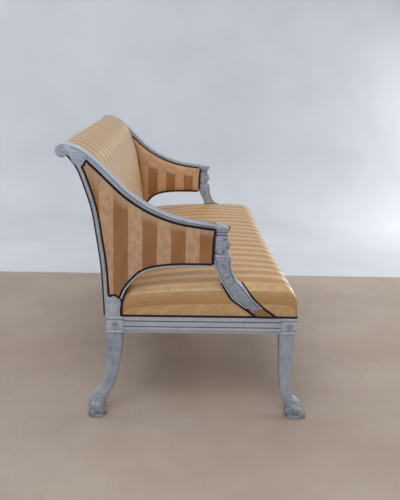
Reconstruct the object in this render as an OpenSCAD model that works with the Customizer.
// Upholstered settee with a scrolled back, two open swept arms and sabre legs.
// X runs along the length, the front faces -Y, Z is up, sizes are in millimetres.
// The origin is on the floor, under the middle of the whole outline.

/* [Frame] */
// Length over the corner blocks of both ends
overall_l = 1640; // [1200:10:2200]
// Depth of the seat frame over its corner blocks
frame_d = 620; // [560:5:700]
// Height of the underside of the seat rails above the floor
leg_h = 292; // [240:2:340]
// Height of the seat rails and corner blocks
rail_h = 54; // [46:1:70]
// Thickness of the seat rails
rail_t = 30; // [24:1:36]
// Side of the square corner blocks
block_w = 56; // [50:1:64]
// How far the rails and arms lie behind the faces of the corner blocks
face_inset = 3; // [1:0.5:6]
// Radius of the rosettes on the corner blocks
rosette_r = 17; // [12:0.5:22]
// Thickness of the rosettes
rosette_t = 3; // [2:0.25:5]
// Width of the sabre legs, seen from the front, at the rail
leg_w = 50; // [40:1:54]
// Width of the ankle, seen from the front
ankle_w = 36; // [28:1:44]
// Width of the paw, seen from the front
paw_w = 56; // [44:1:56]

/* [Arms] */
// Thickness of the arm frames
arm_t = 44; // [36:1:52]
// Height of the arm cap above the seat rails
arm_rise = 299; // [240:1:340]
// Distance of the cap's front from the middle of the frame
arm_front = 78; // [50:1:120]
// Height of the moulded cap
cap_h = 16; // [10:1:24]
// Distance of the arm support's back edge in front of the middle of the frame
support_back = 27; // [10:1:45]
// Height of the arch's crown above the seat rails
arch_rise = 177; // [150:1:200]
// Face of the arm rail above the braid at the front
arm_face_front = 14; // [10:1:20]
// Face of the arm rail above the braid at the back
arm_face_back = 22; // [16:1:28]
// Face of the arch rail below the braid
arch_face = 9; // [6:1:14]
// Depth of the arm frame's wood that the panels cover
lap = 12; // [8:1:16]
// Depth of the rebate that takes the outer panel
rebate = 5; // [3:0.5:7]
// Distance of the support's foot in front of the middle of the frame, to its front edge
support_foot_front = 242; // [230:1:246]
// Distance of the support's foot in front of the middle of the frame, to its back edge
support_foot_back = 180; // [160:1:190]
// How far the support's neck lies behind the cap's front
support_neck = 8; // [2:1:14]
// Lean of the panel's front edge
panel_lean = 6; // [0:1:10]
// Height of the post's square base above the seat rails
post_h = 62; // [50:1:74]
// Rise of the post's rounded top into the panel
post_bump = 8; // [3:1:12]
// How far the post stands behind the inner face of the corner block
post_set = 10; // [4:1:14]
// Height of the cloth patch on the support's foot
patch_h = 42; // [30:1:50]

/* [Back] */
// Height of the scroll's centre above the seat rails
scroll_rise = 529; // [450:1:600]
// Radius of the scroll
scroll_r = 21; // [16:1:28]
// Overhang of the scroll's centre behind the frame
scroll_over = 133; // [100:1:160]
// Depth of the rear stiles
stile_d = 44; // [36:1:50]
// Thickness of the crest rail, the lower rail and the muntins of the back
back_rail_t = 24; // [18:1:28]
// Height of the lower back rail
lower_rail_h = 46; // [36:1:60]
// Width of the muntins
muntin_w = 45; // [30:1:60]
// Strip of stile that shows beside the outer panel
strip = 15; // [12:1:20]

/* [Upholstery] */
// Rise of the seat's crown above the seat rails
seat_rise = 118; // [90:1:125]
// How far the seat's front is drawn in between its corners
seat_draw = 8; // [0:1:12]
// Thickness of the covers
cover_t = 2; // [1.5:0.5:3]
// Thickness of the back's stuffing in front of its frame
back_pad_t = 36; // [26:1:44]
// Crown of the back's stuffing at the middle of the length
back_crown = 8; // [0:1:12]
// Swell of the inner arm pads
arm_pad_swell = 11; // [6:1:16]
// Thickness of the outer arm panels
panel_t = 4; // [2.5:0.5:4.5]
// Width of the gimp braid
gimp_w = 7; // [5:0.5:9]
// Thickness of the gimp braid
gimp_t = 2.5; // [1.5:0.5:3]
// Width of the webbing
webbing_w = 50; // [40:1:60]
// Thickness of the webbing and of the hessian
webbing_t = 1.5; // [1:0.5:2]

/* [Joints] */
// Length of the tenons
tenon_l = 22; // [14:1:24]
// Thickness of the tenons
tenon_t = 10; // [8:1:14]
// Gap between a tenon and its mortise
joint_gap = 0.2; // [0.1:0.05:0.3]
// Gap between soft pieces and their neighbours
soft_gap = 0.4; // [0.3:0.1:0.8]
// Size of the corner blocks inside the frame, along the rails
brace_leg = 60; // [45:1:80]
// Height of the corner blocks inside the frame
brace_h = 34; // [24:1:40]
// Radius of the screws of the corner blocks
screw_r = 2.5; // [2:0.25:3]
// Length of the screws' shanks
screw_l = 34; // [26:1:44]
// Distance of the screws' heads from the rails
screw_set = 20; // [12:1:24]
// Overrun of every cut and of every piece that runs into its own neighbour
cut = 1; // [0.5:0.25:2]

/* [Hidden] */
$fn = 48;

// Colours
paint = "slategray";
silk = "burlywood";
braid = "black";
linen = "tan";
steel = "silver";

// Places that follow from the sizes, with Y measured from the middle of the seat frame
half_l = overall_l / 2;
half_d = frame_d / 2;
face_x = half_l - face_inset;
face_y = half_d - face_inset;
inner_x = face_x - arm_t;
rail_top = leg_h + rail_h;
block_in = half_d - block_w;
arm_top = rail_top + arm_rise;
scroll_y = half_d + scroll_over;
scroll_z = rail_top + scroll_rise;

// Leg outlines: outward shares of the block's side, from its inner face, and shares of the leg's height
front_leg_in_shares = [[-0.08, 1], [-0.04, 0.6], [0.06, 0.4], [0.18, 0.25], [0.37, 0.11],
    [0.45, 0.06], [0.7, 0]];
front_leg_out_shares = [[1.79, 0], [1.71, 0.06], [1.54, 0.13], [1.18, 0.21], [0.87, 0.26],
    [0.74, 0.42], [0.78, 0.6], [0.85, 1]];
rear_leg_in_shares = [[0.04, 1], [0.05, 0.86], [0.2, 0.65], [0.45, 0.425], [0.85, 0.26],
    [1.04, 0.17], [1.1, 0]];
petal_shares = [0.55, 0.85, 0.95, 0.85];
rear_leg_out_shares = [[2.0, 0], [2.04, 0.08], [2.0, 0.17], [1.75, 0.26], [1.46, 0.32], [1.14, 0.425],
    [0.96, 0.65], [0.95, 0.86], [0.96, 1]];
// Leg seen from the front: shares of the leg's height where its width changes
ankle_share = 0.25;
paw_share = 0.1;
shin_share = 0.6;

// Sweep of the arm: shares of the run from cap to scroll, and of the climb
sweep_shares = [[0, 0], [0.15, 0.035], [0.32, 0.1], [0.47, 0.225], [0.6, 0.4], [0.7, 0.595],
    [0.79, 0.775], [0.88, 0.925], [0.95, 0.985], [1, 1]];
// Share of the sweep in which the arm rail's face grows to its full depth
face_growth_share = 0.55;
// Rear edge of the stile: shares of its backward reach and of its height
stile_shares = [[0, 0], [0.03, 0.14], [0.085, 0.32], [0.186, 0.48], [0.314, 0.655], [0.5, 0.795],
    [0.72, 0.92], [1, 1]];
// Arch of the lower arm rail: shares of its run and of its rise from the post
arch_shares = [[0, 1], [0.25, 1], [0.42, 0.985], [0.57, 0.945], [0.7, 0.865], [0.8, 0.73],
    [0.89, 0.49], [0.955, 0.27], [1, 0]];
// Front edge of the arm support, from the rail up: shares of its run and of its height
support_front_shares = [[1, 0], [0.755, 0.095], [0.53, 0.21], [0.31, 0.365], [0.17, 0.445], [0.07, 0.6],
    [0.045, 0.76], [0.035, 0.85], [0.02, 1]];
// Back edge of the arm support below the arch, from the rail up
support_back_shares = [[1, 0], [0.8, 0.14], [0.445, 0.38], [0.346, 0.5], [0.26, 0.63],
    [0.176, 0.78], [0.11, 0.92], [0.06, 0.985], [0, 1]];

// Part of the stile's outline that belongs to the arm rail, counted in shares of its height
neck_share = 0.92;
stile_base = half_d + face_inset;
neck_drop = scroll_r * 0.4;
stile_reach = scroll_y - scroll_r * 0.6 - stile_base;
stile_rise = scroll_z - neck_drop - rail_top;

function lerp(a, b, t) = a + (b - a) * t;
function unit(v) = v / norm(v);
function bend(a, b, c, d, t) =
    0.5 * (2 * b + (c - a) * t + (2 * a - 5 * b + 4 * c - d) * t * t
        + (3 * b - a - 3 * c + d) * t * t * t);
// A smooth line through points, with n steps between neighbours
function smooth(p, n = 3) = [
    for (i = [0:len(p) - 2])
        for (j = [0:n - 1])
            bend(p[max(i - 1, 0)], p[i], p[i + 1], p[min(i + 2, len(p) - 1)], j / n),
    p[len(p) - 1]
];
function heading(p, i) = unit(p[min(i + 1, len(p) - 1)] - p[max(i - 1, 0)]);
// The line moved to its right by a distance that runs from d to e
function beside(p, d, e) = [
    for (i = [0:len(p) - 1])
        let (h = heading(p, i))
            p[i] + lerp(d, e, i / (len(p) - 1)) * [h.y, -h.x]
];
function sum(v, i = 0) = i < len(v) ? v[i] + sum(v, i + 1) : 0;
function turning(p) = sign(sum([for (i = [0:len(p) - 1]) cross(p[i], p[(i + 1) % len(p)])]));
// A closed ring moved outward by d, with mitred corners
function ring_out(p, d) =
    let (n = len(p), way = turning(p))
    [
        for (i = [0:n - 1])
            let (
                a = unit(p[i] - p[(i + n - 1) % n]),
                b = unit(p[(i + 1) % n] - p[i]),
                na = [a.y, -a.x],
                nb = [b.y, -b.x]
            )
                p[i] + way * d * (na + nb) / (1 + max(na * nb, -0.2))
    ];
function last(p) = p[len(p) - 1];
function backward(p) = [for (i = [len(p) - 1:-1:0]) p[i]];
function at(p, t) = let (k = t * (len(p) - 1), i = min(floor(k), len(p) - 2)) lerp(p[i], p[i + 1], k - i);
function ahead_of(p, y) = [for (q = p) if (q.x < y) q];
function above(p, z) = [for (q = p) if (q.y > z) q];
function below(p, z) = [for (q = p) if (q.y < z) q];

// Arm rail's top edge, from the cap to the scroll
arm_run = scroll_y + arm_front;
arm_climb = scroll_z + scroll_r - arm_top;
arm_edge = smooth([for (s = sweep_shares) [s[0] * arm_run - arm_front, arm_top + s[1] * arm_climb]]);
function face_depth(t) = lerp(arm_face_front, arm_face_back, min(1, t / face_growth_share));
arm_braid = [
    for (i = [0:len(arm_edge) - 1])
        let (h = heading(arm_edge, i))
            arm_edge[i] + face_depth(i / (len(arm_edge) - 1)) * [h.y, -h.x]
];
arm_under = [
    for (i = [0:len(arm_edge) - 1])
        let (h = heading(arm_edge, i))
            arm_edge[i] + (face_depth(i / (len(arm_edge) - 1)) + lap) * [h.y, -h.x]
];

// Rear edge of the stile, from the rail to the scroll, and lines beside it
stile_edge = smooth([
    for (s = stile_shares)
        [stile_base + s[0] * stile_reach, rail_top + s[1] * stile_rise]
]);
neck_z = rail_top + neck_share * stile_rise;
stile_end = [lookup(neck_z, [for (q = stile_edge) [q.y, q.x]]), neck_z];
stile_braid = beside(stile_edge, -strip, -strip * 0.85);
stile_front = beside(stile_edge, -stile_d, -stile_d * 0.9);
stile_front_low = [for (q = stile_front) if (q.y < lookup(q.x, arm_under)) q];
stile_top = [last(stile_front_low).x, lookup(last(stile_front_low).x, arm_under)];
notch_corner = [scroll_y - scroll_over * 0.565, scroll_z - scroll_r * 1.45];
notch_step = [scroll_y - scroll_over * 0.515, scroll_z - scroll_r * 2.0];

// Lower arm rail, from the support to the post
post_cap = rail_top + post_h;
arch_end = block_in + 1.5 * post_set;
arch_top = rail_top + arch_rise;
arch_braid = smooth([
    for (s = arch_shares)
        [lerp(-support_back, arch_end, s[0]), lerp(post_cap, arch_top, s[1])]
]);
arch_low = beside(arch_braid, arch_face, arch_face);
arch_high = beside(arch_braid, -lap, -lap);

// Outer panel: its lower and upper boundary as tables of height against depth
panel_back_edge = [for (q = stile_braid) if (q.y > post_cap + gimp_w / 2 && q.y < notch_step.y - gimp_w) q];
bump_run = panel_back_edge[0].x - arch_end;
bump_edge = [
    for (t = [0.25, 0.5, 0.75])
        [arch_end + bump_run * t, post_cap + gimp_w / 2 * t + post_bump * sin(180 * t)]
];
panel_low = concat(arch_braid, bump_edge, panel_back_edge);
panel_high = concat(ahead_of(arm_braid, notch_corner.x - 2), [notch_corner, notch_step]);
panel_end = panel_back_edge[len(panel_back_edge) - 1].x;
function high_at(y) = lookup(y, panel_high);
panel_ring = concat(
    panel_low,
    backward([for (q = panel_high) if (q.x > -support_back + gimp_w && q.x < panel_end) q]),
    [[-support_back - panel_lean, high_at(-support_back - panel_lean)]],
    [for (s = [0.75, 0.5, 0.25])
        [-support_back - panel_lean * s * s * s, lerp(arch_top, high_at(-support_back), s)]]
);
panel_edge = ring_out(panel_ring, gimp_w / 2);

// Arm support
support_front = smooth([
    for (s = support_front_shares)
        [lerp(-arm_front, -support_foot_front, s[0]), rail_top + s[1] * (arm_rise - cap_h)]
]);
support_rear_top = arch_top - arch_face - lap * 0.8;
support_rear = smooth([
    for (s = support_back_shares)
        [lerp(-support_back, -support_foot_back, s[0]), lerp(rail_top, support_rear_top, s[1])]
]);

// Front face of the back and its depth, from the seat up and over the roll
back_foot_z = rail_top + seat_rise * 0.73;
roll_r = scroll_r - cover_t;

// Frame of the back: rear and front faces of its rails
frame_rear = beside(stile_edge, -joint_gap, -joint_gap);
frame_front = beside(stile_edge, -back_rail_t, -back_rail_t);

shift_y = (block_in + front_leg_out_shares[0][0] * block_w - scroll_y - scroll_r) / 2;

// A flat plate with its outline in the depth and height plane
module plate(x, t, p) {
    translate([x, shift_y, 0])
        rotate([90, 0, 90])
            linear_extrude(t)
                polygon(p);
}

// A round rod with flat facets, for screws and small recesses
module rod(h, r, facets) {
    linear_extrude(h)
        polygon([for (i = [0:facets - 1]) r * [cos(i * 360 / facets), sin(i * 360 / facets)]]);
}

// A bar that runs along the length
module bar(p, half) {
    plate(-half, 2 * half, p);
}

// A box by its lowest corner and its size, measured from the middle of the frame
module box(corner, size) {
    translate(corner + [0, shift_y, 0])
        cube(size);
}

// The left side as drawn, or mirrored to the right
module left() {
    children();
}

module right() {
    mirror([1, 0, 0])
        children();
}

module both() {
    left()
        children();
    right()
        children();
}

// Section of a moulded rail: flat top, groove, flat band, groove and bead
rail_groove = 2.5;
rail_face_shares = [[0, 1], [0, 0.77], [1, 0.75], [1, 0.72], [0, 0.7], [0, 0.43], [1, 0.4], [1, 0.37],
    [0.2, 0.34], [0, 0.28], [0, 0.22], [0.2, 0.15], [1, 0.12], [1.4, 0]];
function rail_face(face, dir) = [
    for (s = rail_face_shares)
        [face - dir * s[0] * rail_groove, leg_h + s[1] * rail_h]
];
function rail_section(face, dir) = concat(
    rail_face(face, dir),
    [[face - dir * rail_t, leg_h], [face - dir * rail_t, rail_top]]
);

// Legs
function leg_line(shares, dir) = [for (s = shares) [dir * (block_in + s[0] * block_w), s[1] * leg_h]];
leg_mid_x = half_l - block_w / 2;
leg_view = [
    [-leg_w / 2, leg_h + cut],
    [-leg_w / 2, leg_h],
    [-lerp(ankle_w, leg_w, 0.6) / 2, shin_share * leg_h],
    [-ankle_w / 2, ankle_share * leg_h],
    [-paw_w / 2, paw_share * leg_h],
    [-paw_w / 2, 0]
];
leg_view_ring = concat(leg_view, backward([for (q = leg_view) [-q.x, q.y]]));

// Everything of a leg from the floor to the rail, as wide as its view from the front
module leg_body(p) {
    intersection() {
        plate(half_l - block_w, block_w, p);
        translate([leg_mid_x, 2 * half_l, 0])
            rotate([90, 0, 0])
                linear_extrude(4 * half_l)
                    polygon(leg_view_ring);
    }
}

// Short core that makes the leg one piece with the block above it
module leg_core(dir) {
    box(
        [
            leg_mid_x - ankle_w / 2,
            dir > 0 ? half_d - block_w * 0.8 : -half_d + block_w * 0.25,
            leg_h - cut
        ],
        [ankle_w, block_w * 0.55, 2 * cut]
    );
}

tenon_h = rail_h * 0.6;
tenon_z = leg_h + rail_h * 0.2;
tenon_in = (rail_t - tenon_t) / 2;

// Tenon of a front or back rail, from its shoulder into the corner block
module long_tenon(y, gap) {
    box(
        [half_l - block_w - cut, y - gap, tenon_z - gap],
        [tenon_l + cut + gap, tenon_t + 2 * gap, tenon_h + 2 * gap]
    );
}

// Tenons of a side rail, from its shoulders into both corner blocks
module side_tenons(gap) {
    // the tenons of the side rail stop short of those of the long rails
    short_l = block_w - tenon_l - rail_t / 2;
    for (end = [-1, 1])
        box(
            [
                face_x - tenon_in - tenon_t - gap,
                end > 0 ? block_in - cut : -block_in - short_l - gap,
                tenon_z - gap
            ],
            [tenon_t + 2 * gap, short_l + cut + gap, tenon_h + 2 * gap]
        );
}

// Round recess in a block for a rosette, facing along X or Y
rosette_facets = 16;
petals = 8;
module rosette_seat_x(y) {
    translate([half_l - rosette_t, shift_y + y, leg_h + rail_h / 2])
        rotate([0, 90, 0])
            rod(rosette_t + cut, rosette_r + joint_gap, rosette_facets);
}

module rosette_seat_front() {
    translate([leg_mid_x, shift_y - half_d + rosette_t, leg_h + rail_h / 2])
        rotate([90, 0, 0])
            rod(rosette_t + cut, rosette_r + joint_gap, rosette_facets);
}

module rosette_shape() {
    rod(rosette_t / 2, rosette_r, rosette_facets);
    translate([0, 0, rosette_t / 2 - joint_gap])
        linear_extrude(rosette_t / 2 + joint_gap)
            polygon([
                for (i = [0:petals * 4 - 1])
                    rosette_r * petal_shares[i % 4] * [cos(i * 90 / petals), sin(i * 90 / petals)]
            ]);
}

module corner_rosettes() {
    color(paint)
        both() {
            for (y = [-half_d + block_w / 2, half_d - block_w / 2])
                translate([half_l - rosette_t, shift_y + y, leg_h + rail_h / 2])
                    rotate([0, 90, 0])
                        rosette_shape();
            translate([leg_mid_x, shift_y - half_d + rosette_t, leg_h + rail_h / 2])
                rotate([90, 0, 0])
                    rosette_shape();
        }
}

module front_leg() {
    color(paint) {
        difference() {
            box([half_l - block_w, -half_d, leg_h], [block_w, block_w, rail_h]);
            long_tenon(-face_y + tenon_in, joint_gap);
            side_tenons(joint_gap);
            rosette_seat_x(-half_d + block_w / 2);
            rosette_seat_front();
        }
        leg_core(-1);
        leg_body(concat(
            smooth(leg_line(front_leg_in_shares, -1)),
            smooth(leg_line(front_leg_out_shares, -1))
        ));
    }
}

// The stile's outline above the corner block, up to the arm rail
haunch_z = lookup(block_in, arch_high) + lap / 2;
stile_ring = concat(
    [[block_in + post_set, rail_top - cut], [stile_base, rail_top - cut]],
    below(above(stile_edge, rail_top), neck_z),
    [stile_end, stile_top],
    backward(above(stile_front_low, haunch_z + lap)),
    [
        [block_in, haunch_z],
        [block_in, lookup(block_in, arch_low)],
        [block_in + post_set, lerp(rail_top, post_cap, 0.6)]
    ]
);

// Tenon at the top of the stile, in the arm rail
module stile_tenon(gap) {
    plate(
        face_x - arm_t / 2 - tenon_t / 2 - gap,
        tenon_t + 2 * gap,
        ring_out(stile_tenon_ring, gap)
    );
}
stile_tenon_dir = unit([stile_top.y - stile_end.y, stile_end.x - stile_top.x]);
stile_tenon_shares = [0.25, 0.6];
stile_tenon_ring = [
    lerp(stile_top, stile_end, stile_tenon_shares[0]) - cut * stile_tenon_dir,
    lerp(stile_top, stile_end, stile_tenon_shares[1]) - cut * stile_tenon_dir,
    lerp(stile_top, stile_end, stile_tenon_shares[1]) + tenon_l / 2 * stile_tenon_dir,
    lerp(stile_top, stile_end, stile_tenon_shares[0]) + tenon_l / 2 * stile_tenon_dir
];

module rear_post() {
    color(paint) {
        difference() {
            union() {
                box([half_l - block_w, block_in, leg_h], [block_w, block_w, rail_h]);
                plate(inner_x, arm_t, stile_ring);
                stile_tenon(0);
            }
            long_tenon(face_y - tenon_in - tenon_t, joint_gap);
            side_tenons(joint_gap);
            rosette_seat_x(half_d - block_w / 2);
            panel_rebate();
            arch_tenons(joint_gap);
            back_rail_tenons(joint_gap);
        }
        leg_core(1);
        leg_body(concat(
            smooth(leg_line(rear_leg_in_shares, 1)),
            smooth(leg_line(rear_leg_out_shares, 1))
        ));
    }
}

module panel_rebate() {
    plate(face_x - rebate, rebate + cut, panel_edge);
}

module long_rail(dir) {
    color(paint)
        difference() {
            union() {
                bar(rail_section(dir * face_y, dir), half_l - block_w);
                both()
                    long_tenon(dir > 0 ? face_y - tenon_in - tenon_t : -face_y + tenon_in, 0);
            }
            both()
                brace_screw_y(dir, joint_gap);
            both()
                seat_brace_tenons(joint_gap);
        }
}

module side_rail() {
    color(paint)
        difference() {
            union() {
                intersection() {
                    translate([0, shift_y + block_in, 0])
                        rotate([90, 0, 0])
                            linear_extrude(2 * block_in)
                                polygon(rail_section(face_x, 1));
                    box([0, -block_in, 0], [half_l, 2 * block_in, rail_top]);
                }
                side_tenons(0);
            }
            brace_screw_x(joint_gap);
            support_tenon(joint_gap);
        }
}

// Arm rail with the scroll and the leaf-shaped neck above the stile
arm_ring = concat(
    [[-arm_front, arm_top - cap_h]],
    arm_edge,
    [[scroll_y, scroll_z]],
    backward(above(stile_edge, neck_z)),
    [stile_end, stile_top],
    backward([for (q = arm_under) if (q.x < stile_top.x - lap / 2 && q.x > lap) q]),
    [[-support_back + lap, at(arm_under, 0.1).y]],
    [[-support_back + lap, arm_top - cap_h]]
);

module arm_rail() {
    color(paint)
        difference() {
            union() {
                plate(inner_x, arm_t, arm_ring);
                translate([inner_x, shift_y + scroll_y, scroll_z])
                    rotate([0, 90, 0])
                        cylinder(h = arm_t, r = scroll_r);
            }
            // the volute's eye
            translate([face_x - rebate / 2, shift_y + scroll_y, scroll_z])
                rotate([0, 90, 0])
                    difference() {
                        cylinder(h = rebate, r = scroll_r * 0.62);
                        translate([0, 0, -cut])
                            cylinder(h = rebate + 2 * cut, r = scroll_r * 0.4);
                    }
            panel_rebate();
            stile_tenon(joint_gap);
            cap_tenon(joint_gap);
            crest_tenon(joint_gap);
        }
}

support_ring = concat(
    support_front,
    [[-arm_front + support_neck, arm_top - cap_h], [-support_back + lap, arm_top - cap_h]],
    [[-support_back + lap, arch_top + lap]],
    [[-support_back + lap, arch_top - arch_face]],
    backward(support_rear)
);

// Tenon at the top of the support, in the arm rail's cap
module cap_tenon(gap) {
    box(
        [face_x - arm_t / 2 - tenon_t / 2 - gap, -arm_front * 0.75 - gap, arm_top - cap_h - cut],
        [tenon_t + 2 * gap, arm_front * 0.35 + 2 * gap, cap_h * 0.6 + cut + gap]
    );
}

// Tenon at the foot of the support, in the side rail
module support_tenon(gap) {
    box(
        [face_x - tenon_in - tenon_t - gap, -support_foot_front * 0.95 - gap, rail_top - tenon_l - gap],
        [tenon_t + 2 * gap, (support_foot_front - support_foot_back) * 0.6 + 2 * gap, tenon_l + cut + gap]
    );
}

module arm_support() {
    color(paint)
        difference() {
            union() {
                plate(inner_x, arm_t, support_ring);
                cap_tenon(0);
                support_tenon(0);
            }
            panel_rebate();
            arch_tenons(joint_gap);
        }
}

// Lower arm rail between the support and the post
arch_ring = concat(
    ahead_of([for (q = arch_low) if (q.x > -support_back + lap) q], block_in),
    [[block_in, lookup(block_in, arch_low)]],
    [[block_in, lookup(block_in, arch_high)]],
    backward([for (q = arch_high) if (q.x > -support_back + lap && q.x < block_in) q]),
    [[-support_back + lap, arch_top + lap], [-support_back + lap, arch_top - arch_face]]
);

module arch_tenons(gap) {
    arch_tenon_h = arch_face + lap * 0.4;
    box(
        [
            face_x - arm_t / 2 - tenon_t / 2 - gap,
            -support_back + lap - tenon_l * 0.5 - gap,
            arch_top - arch_face / 2 - gap
        ],
        [tenon_t + 2 * gap, tenon_l * 0.5 + cut + gap, arch_tenon_h + 2 * gap]
    );
    box(
        [
            face_x - arm_t / 2 - tenon_t / 2 - gap,
            block_in - cut,
            lookup(block_in, arch_low) + arch_face / 2 - gap
        ],
        [tenon_t + 2 * gap, tenon_l * 0.5 + cut + gap, arch_tenon_h + 2 * gap]
    );
}

module arch_rail() {
    color(paint)
        difference() {
            union() {
                plate(inner_x, arm_t, arch_ring);
                arch_tenons(0);
            }
            panel_rebate();
        }
}

// Rails and muntins of the back
crest_low_share = 0.86;
crest_low_z = rail_top + crest_low_share * stile_rise;
lower_rail_z = back_foot_z;
function back_slice(z0, z1) = concat(
    [[lookup(z0, [for (q = frame_rear) [q.y, q.x]]), z0]],
    [for (q = frame_rear) if (q.y > z0 && q.y < z1) q],
    [[lookup(z1, [for (q = frame_rear) [q.y, q.x]]), z1]],
    [[lookup(z1, [for (q = frame_front) [q.y, q.x]]), z1]],
    backward([for (q = frame_front) if (q.y > z0 && q.y < z1) q]),
    [[lookup(z0, [for (q = frame_front) [q.y, q.x]]), z0]]
);
crest_core_r = roll_r - cover_t - 5 * soft_gap;

module crest_tenon(gap) {
    translate([inner_x - cut, shift_y + scroll_y, scroll_z])
        rotate([0, 90, 0])
            cylinder(h = tenon_l + cut + gap, r = tenon_t * 0.8 + gap);
}

module crest_rail() {
    color(linen) {
        bar(back_slice(crest_low_z, scroll_z - neck_drop), inner_x);
        translate([-inner_x, shift_y + scroll_y, scroll_z])
            rotate([0, 90, 0])
                cylinder(h = 2 * inner_x, r = crest_core_r);
        both()
            crest_tenon(0);
    }
}

module back_rail_tenons(gap) {
    back_tenon_y = lookup(lower_rail_z + lower_rail_h / 2, [for (q = frame_rear) [q.y, q.x]]);
    box(
        [
            inner_x - cut,
            back_tenon_y - (back_rail_t + tenon_t) / 2 - gap,
            lower_rail_z + lower_rail_h * 0.2 - gap
        ],
        [tenon_l + cut + gap, tenon_t + 2 * gap, lower_rail_h * 0.6 + 2 * gap]
    );
}

module lower_back_rail() {
    color(linen) {
        bar(back_slice(lower_rail_z, lower_rail_z + lower_rail_h), inner_x);
        both()
            back_rail_tenons(0);
    }
}

muntin_x = overall_l / 6;

module back_muntins() {
    color(linen)
        for (x = [-muntin_x, muntin_x])
            plate(x - muntin_w / 2, muntin_w, back_slice(lower_rail_z + lower_rail_h, crest_low_z));
}

// Cross braces of the seat frame, tenoned into the long rails
seat_brace_w = 45;
seat_brace_drop = rail_h * 0.15;

module seat_brace_tenons(gap) {
    for (end = [-1, 1])
        box(
            [
                muntin_x - seat_brace_w * 0.3 - gap,
                end > 0 ? face_y - rail_t - cut : -face_y + rail_t - tenon_l * 0.7 - gap,
                tenon_z - gap
            ],
            [seat_brace_w * 0.6 + 2 * gap, tenon_l * 0.7 + cut + gap, tenon_t + 2 * gap]
        );
}

module seat_braces() {
    color(linen)
        both() {
            box(
                [muntin_x - seat_brace_w / 2, -face_y + rail_t, leg_h + seat_brace_drop],
                [seat_brace_w, 2 * (face_y - rail_t), rail_h - 2 * seat_brace_drop]
            );
            seat_brace_tenons(0);
        }
}

// Triangular blocks screwed into the corners of the seat frame
brace_z = leg_h + (rail_h - brace_h) / 2;
module corner_brace(dir) {
    in_x = face_x - rail_t;
    in_y = face_y - rail_t;
    step_x = half_l - block_w;
    step_y = block_in;
    difference() {
        translate([0, shift_y, brace_z])
            linear_extrude(brace_h)
                polygon([
                    [step_x - brace_leg, dir * in_y],
                    [step_x, dir * in_y],
                    [step_x, dir * step_y],
                    [in_x, dir * step_y],
                    [in_x, dir * (step_y - brace_leg)]
                ]);
        brace_screw_x(joint_gap);
        brace_screw_y(dir, joint_gap);
    }
}

module corner_braces() {
    color(linen)
        both()
            for (dir = [-1, 1])
                corner_brace(dir);
}

screw_facets = 8;
screw_head_r = screw_r * 1.9;
screw_head_h = screw_r;
screw_seat_x = face_x - rail_t - screw_set;
screw_seat_y = face_y - rail_t - screw_set;
screw_side = brace_leg * 0.4;

// Screws into the side rail, with the hole that clears the head
module brace_screw_x(gap) {
    for (end = [-1, 1])
        translate([screw_seat_x, shift_y + end * (block_in - screw_side), leg_h + rail_h / 2])
            rotate([0, 90, 0]) {
                rod(screw_l + gap, screw_r + gap, screw_facets);
                translate([0, 0, gap > 0 ? -brace_leg : -screw_head_h])
                    rod(gap > 0 ? brace_leg : screw_head_h, screw_head_r + gap, screw_facets);
            }
}

// Screws into a front or back rail
module brace_screw_y(dir, gap) {
    translate([half_l - block_w - screw_side, shift_y + dir * screw_seat_y, leg_h + rail_h / 2])
        rotate([-dir * 90, 0, 0]) {
            rod(screw_l + gap, screw_r + gap, screw_facets);
            translate([0, 0, gap > 0 ? -brace_leg : -screw_head_h])
                rod(gap > 0 ? brace_leg : screw_head_h, screw_head_r + gap, screw_facets);
        }
}

module brace_screws() {
    color(steel)
        both() {
            brace_screw_x(0);
            brace_screw_y(-1, 0);
            brace_screw_y(1, 0);
        }
}

// Webbing and hessian of the seat
web_rows = 6;
web_cols = 18;
web_front = -face_y + rail_t / 2;
web_back = block_in - 2 * soft_gap;
web_side = face_x - rail_t / 2;

module seat_webbing_cross() {
    color(linen)
        for (i = [0:web_cols - 1])
            box(
                [
                    lerp(-inner_x, inner_x, (i + 0.5) / web_cols) - webbing_w / 2,
                    web_front,
                    rail_top
                ],
                [webbing_w, face_y - rail_t / 2 - web_front, webbing_t]
            );
}

module seat_webbing_long() {
    color(linen)
        difference() {
            for (i = [0:web_rows - 1])
                box(
                    [
                        -web_side,
                        lerp(web_front, web_back, (i + 0.5) / web_rows) - webbing_w / 2,
                        rail_top + webbing_t
                    ],
                    [2 * web_side, webbing_w, webbing_t]
                );
            support_cut(soft_gap);
        }
}

module support_cut(gap) {
    both()
        plate(inner_x - gap, arm_t + gap + 2 * cut, ring_out(support_foot_ring, gap));
}

// The part of the support beside the seat, with a straight top and bottom that overrun it
support_foot_ring = concat(
    [[-support_foot_front - cut, rail_top - cut]],
    below([for (i = [0:2:len(support_front) - 1]) support_front[i]], rail_top + seat_rise * 1.2),
    backward(below([for (i = [0:2:len(support_rear) - 1]) support_rear[i]], rail_top + seat_rise * 1.2)),
    [[-support_foot_back - cut, rail_top - cut]]
);

hessian_z = rail_top + 2 * webbing_t;
hessian_t = webbing_t;

module seat_hessian() {
    color(linen)
        difference() {
            box([-web_side, web_front, hessian_z], [2 * web_side, web_back - web_front, hessian_t]);
            support_cut(soft_gap);
        }
}

// Seat pad: a crowned form with steep rounded sides, as a closed grid of triangles
seat_front_y = -face_y + gimp_t + soft_gap;
seat_back_y = block_in - soft_gap;
seat_side_x = face_x - gimp_t - soft_gap;
// Height along the depth, from front to back: shares of the depth and of the rise
seat_depth_shares = [[0, 0], [0.003, 0.3], [0.01, 0.58], [0.024, 0.77], [0.052, 0.885],
    [0.1, 0.95], [0.22, 0.99], [0.36, 1], [0.54, 0.975], [0.72, 0.88], [0.86, 0.78],
    [0.95, 0.69], [0.99, 0.5], [1, 0]];
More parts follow.
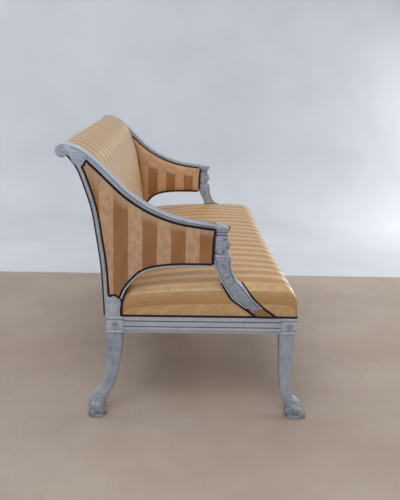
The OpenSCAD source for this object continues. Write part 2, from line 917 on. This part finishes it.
// Height along the length: shares of half the length and of the rise
seat_half_shares = [[0, 1], [0.35, 0.997], [0.62, 0.99], [0.8, 0.975], [0.9, 0.95],
    [0.95, 0.905], [0.975, 0.81], [0.99, 0.61], [0.997, 0.33], [1, 0]];
seat_length_shares = concat(
    [for (i = [len(seat_half_shares) - 1:-1:1]) [-seat_half_shares[i][0], seat_half_shares[i][1]]],
    seat_half_shares
);

// Lesser of two shares with a soft change between them, so that the pad's corners stay full
fullness = 5;
function soft_lesser(a, b) =
    a <= 0 || b <= 0 ? 0 : pow(pow(a, -fullness) + pow(b, -fullness) - 1, -1 / fullness);

function seat_grid(z0, inset) =
    let (
        rise = seat_rise + rail_top - z0 - inset,
        side = seat_side_x - inset,
        front = seat_front_y + inset,
        back = seat_back_y - inset
    )
    [
        for (u = seat_length_shares)
            [
                for (v = seat_depth_shares)
                    let (draw = seat_draw * (1 - u[0] * u[0]) * (1 - v[0]) * (1 - v[0]))
                        [
                            -u[0] * side,
                            shift_y + lerp(front, back, v[0]) + draw,
                            v[0] < 1 ? z0 + rise * soft_lesser(u[1], v[1]) : seat_rim_z
                        ]
            ]
    ];

stuffing_z = hessian_z + hessian_t + webbing_t;
seat_rim_z = stuffing_z + soft_gap;

module seat_stuffing() {
    color(linen)
        difference() {
            strip_solid(
                [for (r = seat_grid(rail_top + soft_gap, cover_t + 4 * soft_gap))
                    [for (q = r) [q.x, q.y, max(q.z, stuffing_z)]]],
                [for (r = seat_grid(rail_top + soft_gap, cover_t + 4 * soft_gap))
                    [for (q = r) [q.x, q.y, hessian_z + hessian_t]]]
            );
            support_cut(gimp_t + cover_t + 2 * soft_gap);
        }
}

module seat_cover() {
    color(silk)
        difference() {
            strip_solid(seat_grid(rail_top + soft_gap, 0), seat_grid(rail_top + soft_gap, cover_t));
            support_cut(gimp_t + soft_gap);
        }
}

// A grid of triangles between two lines of points that is closed by its own rear side
module strip_solid(outer, inner) {
    m = len(outer);
    n = len(outer[0]);
    points = concat([for (r = outer) each r], [for (r = inner) each r]);
    b = m * n;
    // each corner of the grid lies in both triangles of its cell, so no triangle lies flat in the rim
    cells = [
        for (i = [0:m - 2])
            for (j = [0:n - 2])
                let (k = i * n + j)
                    (i < (m - 1) / 2) == (j < (n - 1) / 2)
                        ? [[k, k + 1, k + n + 1], [k, k + n + 1, k + n]]
                        : [[k, k + 1, k + n], [k + 1, k + n + 1, k + n]]
    ];
    shell = [for (c = cells) each c];
    faces = concat(
        shell,
        [for (t = shell) [b + t[0], b + t[2], b + t[1]]],
        [for (i = [0:m - 2]) let (k = i * n) [k, k + n, b + k + n]],
        [for (i = [0:m - 2]) let (k = i * n) [k, b + k + n, b + k]],
        [for (i = [0:m - 2]) let (k = i * n + n - 1) [k, b + k + n, k + n]],
        [for (i = [0:m - 2]) let (k = i * n + n - 1) [k, b + k, b + k + n]],
        [for (j = [0:n - 2]) [j, b + j + 1, j + 1]],
        [for (j = [0:n - 2]) [j, b + j, b + j + 1]],
        [for (j = [0:n - 2]) let (k = (m - 1) * n + j) [k, k + 1, b + k + 1]],
        [for (j = [0:n - 2]) let (k = (m - 1) * n + j) [k, b + k + 1, b + k]]
    );
    polyhedron(points = points, faces = faces, convexity = 8);
}

// Webbing, hessian and pad of the back, in front of its frame
back_layer = webbing_t + joint_gap;
function before_frame(d) =
    let (p = beside(stile_edge, -back_rail_t - d, -back_rail_t - d))
        [for (i = [len(p) - 1:-2:0]) p[i]];
back_web_face = before_frame(2 * joint_gap);
back_web_front = before_frame(back_layer);
back_hessian_rear = before_frame(back_layer + joint_gap / 2);
back_hessian_face = before_frame(2 * back_layer);
function band_between(p, q, z0, z1) = concat(
    [for (a = p) if (a.y > z0 && a.y < z1) a],
    backward([for (a = q) if (a.y > z0 && a.y < z1) a])
);
back_web_top = crest_low_z + back_rail_t;
back_cols = 12;

module back_webbing() {
    color(linen)
        for (i = [0:back_cols - 1])
            plate(
                lerp(-inner_x, inner_x, (i + 0.5) / back_cols) - webbing_w / 2,
                webbing_w,
                band_between(back_web_face, back_web_front, lower_rail_z, back_web_top)
            );
}

module back_hessian() {
    color(linen)
        bar(
            band_between(back_hessian_rear, back_hessian_face, lower_rail_z, back_web_top),
            inner_x - soft_gap
        );
}

// Front surface of the back: shares of the stile's reach in front of its rear edge, by height
back_steps = 18;
foot_swell = back_pad_t / 6;
back_rear_gap = back_rail_t + 2 * back_layer + soft_gap;
back_rear_line = [
    for (i = [0:back_steps])
        let (z = lerp(back_foot_z, scroll_z - neck_drop, i / back_steps))
            [lookup(z, [for (q = beside(stile_edge, -back_rear_gap, -back_rear_gap)) [q.y, q.x]]), z]
];
roll_angles = [for (a = [120:-36:-60]) a];
function back_front_line(inset) = [
    for (i = [0:back_steps])
        let (
            q = back_rear_line[i],
            h = heading(back_rear_line, i),
            foot = max(0, 1 - i / (back_steps * 0.35))
        )
            q + (back_pad_t + foot_swell * foot * foot - inset) * [-h.y, h.x]
];
function roll_line(r) = [for (a = roll_angles) [scroll_y + r * cos(a), scroll_z + r * sin(a)]];

// Section of the back from its foot over the roll, at one place along the length
function back_outer(x, half, inset) = [
    for (q = concat(
        back_front_line(inset - back_crown * (1 - pow(abs(x) / half, 4)) + back_crown),
        [roll_join(inset)],
        roll_line(roll_r - inset)
    ))
        [x, shift_y + q.x, q.y]
];
function back_inner(x, inset) = [
    for (q = concat(back_rear_line, [roll_inner_join], roll_line(crest_core_r + inset)))
        [x, shift_y + q.x, q.y]
];
// Points that carry the front surface on to the roll
function roll_join(inset) = [scroll_y - scroll_over * 0.33, scroll_z + scroll_r * 0.7 - inset];
roll_inner_join = [last(back_rear_line).x + soft_gap, last(back_rear_line).y + 2 * soft_gap + cover_t];
back_half_shares = [-1, -0.985, -0.94, -0.8, -0.5, 0, 0.5, 0.8, 0.94, 0.985, 1];

module back_stuffing() {
    half = inner_x - soft_gap - cover_t;
    color(linen)
        strip_solid(
            [for (s = back_half_shares) back_outer(s * half, half, cover_t + soft_gap)],
            [for (s = back_half_shares) back_inner(s * half, 2 * soft_gap)]
        );
}

module back_cover() {
    half = inner_x - soft_gap;
    color(silk)
        strip_solid(
            [for (s = back_half_shares) back_outer(s * half, half, 0)],
            [for (s = back_half_shares) back_outer(s * half, half, cover_t)]
        );
}

// Panel on the outside of the back, over the rear faces of the stiles
module outside_back_panel() {
    color(silk)
        bar(
            band_between(
                stile_edge,
                beside(stile_edge, cover_t, cover_t),
                rail_top + cover_t,
                scroll_z - scroll_r
            ),
            face_x - gimp_w / 2
        );
}

module outside_back_gimp() {
    top_z = scroll_z - scroll_r;
    color(braid)
        both()
            plate(
                face_x - gimp_w,
                gimp_w,
                band_between(
                    beside(stile_edge, cover_t, cover_t),
                    beside(stile_edge, cover_t + gimp_t, cover_t + gimp_t),
                    rail_top + cover_t, top_z
                )
            );
}

// Arm upholstery
panel_face = face_x - rebate + panel_t;

module outer_arm_panel() {
    color(silk)
        plate(face_x - rebate, panel_t, ring_out(panel_edge, -joint_gap));
}

module outer_arm_gimp() {
    color(braid)
        difference() {
            plate(panel_face, gimp_t, ring_out(panel_ring, gimp_w / 2 - joint_gap));
            plate(panel_face - cut, gimp_t + 2 * cut, ring_out(panel_ring, -gimp_w / 2));
        }
}

// Inner pad: from the support to the front face of the back
back_seam = back_front_line(-soft_gap);
seam_low = [for (q = back_seam) if (q.x > 0) q];
inner_all = concat(
    ahead_of(arch_braid, seam_low[0].x - cover_t),
    [for (q = seam_low) if (q.y > lookup(q.x, arch_braid) && q.y < lookup(q.x, arm_braid) - gimp_w) q]
);
inner_cols = 24;
inner_low = [for (i = [0:inner_cols]) at(inner_all, i / inner_cols)];
inner_rows = [0, 0.06, 0.14, 0.3, 0.5, 0.7, 0.86, 0.94, 1];
function swell(t) = sin(90 * min(1, t * 3)) * sin(90 * min(1, (1 - t) * 3));
function inner_grid(x, lift) = [
    for (i = [inner_cols:-1:0])
        [
            for (r = inner_rows)
                let (
                    q = inner_low[i],
                    z = lerp(q.y, lookup(q.x, arm_braid) - cover_t, r),
                    along = swell(i / inner_cols)
                )
                    [x - lift * swell(r) * along, shift_y + q.x, z]
        ]
];

module inner_arm_pad() {
    color(silk)
        strip_solid(
            inner_grid(inner_x - cover_t, arm_pad_swell),
            inner_grid(inner_x, 0)
        );
}

inner_ring = concat(
    inner_low,
    [[last(inner_low).x, lookup(last(inner_low).x, arm_braid)]],
    backward([for (q = arm_braid) if (q.x > -support_back && q.x < last(inner_low).x) q]),
    [[-support_back, lookup(-support_back, arm_braid)]]
);

module inner_arm_gimp() {
    color(braid)
        intersection() {
            difference() {
                plate(inner_x - gimp_t, gimp_t, ring_out(inner_ring, gimp_w));
                plate(inner_x - gimp_t - cut, gimp_t + 2 * cut, ring_out(inner_ring, soft_gap));
            }
            plate(inner_x - gimp_t, gimp_t, concat(
                [[-half_d, rail_top], [half_d, rail_top]],
                back_front_line(-cover_t),
                [[-half_d, scroll_z]]
            ));
        }
}

opening_ring = concat(
    [for (q = arch_high) if (q.x > -support_back + lap && q.x < block_in) q],
    [[block_in, haunch_z]],
    above(stile_front_low, haunch_z + lap),
    [stile_top],
    backward([for (q = arm_under) if (q.x < stile_top.x - lap / 2 && q.x > lap) q]),
    [[-support_back + lap, at(arm_under, 0.1).y], [-support_back + lap, arch_top + lap]]
);

module arm_stuffing() {
    color(linen)
        plate(inner_x, arm_t - rebate, ring_out(opening_ring, -soft_gap));
}

// Gimp down both edges of the arm support and the cloth that hides its foot
gimp_top_z = rail_top + arch_rise * 0.55;

module support_gimp() {
    color(braid) {
        plate(
            face_x - gimp_w,
            gimp_w,
            band_between(
                support_front,
                beside(support_front, -gimp_t, -gimp_t),
                rail_top + gimp_w,
                gimp_top_z
            )
        );
        plate(
            face_x - gimp_w,
            gimp_w,
            band_between(
                support_rear,
                beside(support_rear, gimp_t, gimp_t),
                rail_top + gimp_w,
                gimp_top_z
            )
        );
    }
}

module support_patch() {
    color(silk)
        intersection() {
            plate(face_x, cover_t / 2, support_ring);
            plate(face_x - cut, cover_t + cut, [
                [-half_d, rail_top],
                [0, rail_top],
                [-support_foot_back, rail_top + gimp_w],
                [-support_foot_front + post_set, rail_top + patch_h],
                [-half_d, rail_top + patch_h]
            ]);
        }
}

// Gimp up the front edge of each rear post, from the rail to the arch
post_front_edge = [
    [block_in + post_set, rail_top + gimp_w + joint_gap],
    [block_in + post_set, lerp(rail_top, post_cap, 0.6)],
    [block_in, lookup(block_in, arch_low)]
];
module post_gimp() {
    plate(
        face_x - gimp_w,
        gimp_w,
        concat(
            beside(post_front_edge, -joint_gap, -joint_gap),
            backward(beside(post_front_edge, -gimp_w, -gimp_w))
        )
    );
}

// Gimp along the foot of the seat cover, round the front and both sides
module seat_gimp() {
    gimp_l = block_in + post_set + face_y - joint_gap;
    color(braid) {
        difference() {
            box([-face_x, -face_y, rail_top], [2 * face_x, gimp_l, gimp_w]);
            box(
                [-face_x + gimp_t, -face_y + gimp_t, rail_top - cut],
                [2 * (face_x - gimp_t), gimp_l, gimp_w + 2 * cut]
            );
            support_cut(gimp_t + soft_gap);
        }
        both()
            post_gimp();
    }
}

module front_leg_right() {
    right()
        front_leg();
}

module front_leg_left() {
    left()
        front_leg();
}

module rear_post_right() {
    right()
        rear_post();
}

module rear_post_left() {
    left()
        rear_post();
}

module front_rail() {
    long_rail(-1);
}

module back_rail() {
    long_rail(1);
}

module side_rail_right() {
    right()
        side_rail();
}

module side_rail_left() {
    left()
        side_rail();
}

module arm_rail_right() {
    right()
        arm_rail();
}

module arm_rail_left() {
    left()
        arm_rail();
}

module arm_support_right() {
    right()
        arm_support();
}

module arm_support_left() {
    left()
        arm_support();
}

module arch_rail_right() {
    right()
        arch_rail();
}

module arch_rail_left() {
    left()
        arch_rail();
}

module arm_stuffing_right() {
    right()
        arm_stuffing();
}

module arm_stuffing_left() {
    left()
        arm_stuffing();
}

module outer_arm_panel_right() {
    right()
        outer_arm_panel();
}

module outer_arm_panel_left() {
    left()
        outer_arm_panel();
}

module inner_arm_pad_right() {
    right()
        inner_arm_pad();
}

module inner_arm_pad_left() {
    left()
        inner_arm_pad();
}

module outer_arm_gimp_right() {
    right()
        outer_arm_gimp();
}

module outer_arm_gimp_left() {
    left()
        outer_arm_gimp();
}

module inner_arm_gimp_right() {
    right()
        inner_arm_gimp();
}

module inner_arm_gimp_left() {
    left()
        inner_arm_gimp();
}

module support_gimp_right() {
    right()
        support_gimp();
}

module support_gimp_left() {
    left()
        support_gimp();
}

module support_patch_right() {
    right()
        support_patch();
}

module support_patch_left() {
    left()
        support_patch();
}

front_leg_right();
front_leg_left();
rear_post_right();
rear_post_left();
front_rail();
back_rail();
side_rail_right();
side_rail_left();
arm_rail_right();
arm_rail_left();
arm_support_right();
arm_support_left();
arch_rail_right();
arch_rail_left();
crest_rail();
lower_back_rail();
back_muntins();
seat_braces();
corner_braces();
brace_screws();
corner_rosettes();
seat_webbing_cross();
seat_webbing_long();
seat_hessian();
seat_stuffing();
seat_cover();
back_webbing();
back_hessian();
back_stuffing();
back_cover();
outside_back_panel();
arm_stuffing_right();
arm_stuffing_left();
outer_arm_panel_right();
outer_arm_panel_left();
inner_arm_pad_right();
inner_arm_pad_left();
outer_arm_gimp_right();
outer_arm_gimp_left();
inner_arm_gimp_right();
inner_arm_gimp_left();
support_gimp_right();
support_gimp_left();
support_patch_right();
support_patch_left();
seat_gimp();
outside_back_gimp();
